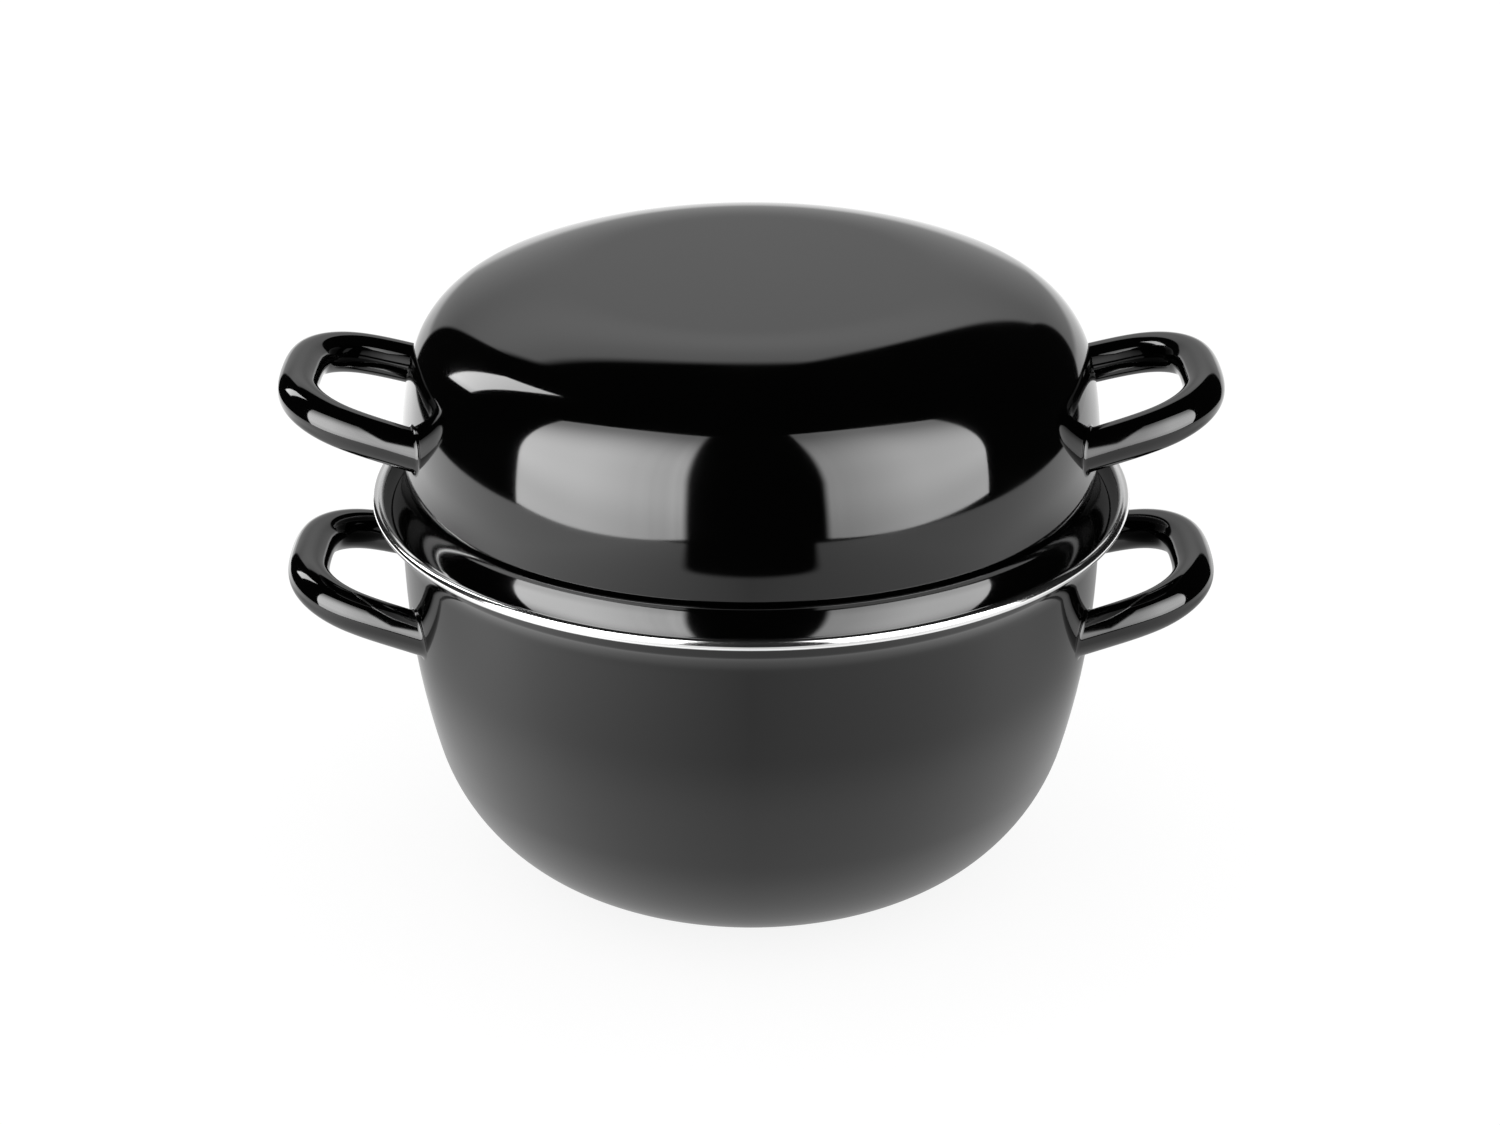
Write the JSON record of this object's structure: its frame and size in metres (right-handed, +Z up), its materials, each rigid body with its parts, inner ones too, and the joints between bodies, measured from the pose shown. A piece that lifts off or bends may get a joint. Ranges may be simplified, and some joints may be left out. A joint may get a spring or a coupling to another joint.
{
  "type": "mussel pot",
  "caption": "Round enamelled cooking pot for mussels, with a bowl-shaped lid resting in its flared steel-edged mouth, and tube loop handles on the pot and on the lid.",
  "frame": {"origin": "centre of the flat base, on the surface that the pot stands on", "axes": "+Z up along the pot's axis, +X through the handles towards the right-hand ones, -Y towards the front"},
  "size_m": [0.2716, 0.2204, 0.1817],
  "materials": {
    "enamel": "glossy black vitreous enamel on sheet steel",
    "steel_band": "polished stainless steel"
  },
  "bodies": {
    "root": {"pot_body": "enamel", "pot_rim_band": "steel_band", "pot_left_handle": "enamel", "pot_right_handle": "enamel", "lid_body": "enamel", "lid_left_handle": "enamel", "lid_right_handle": "enamel"}
  },
  "joints": []
}
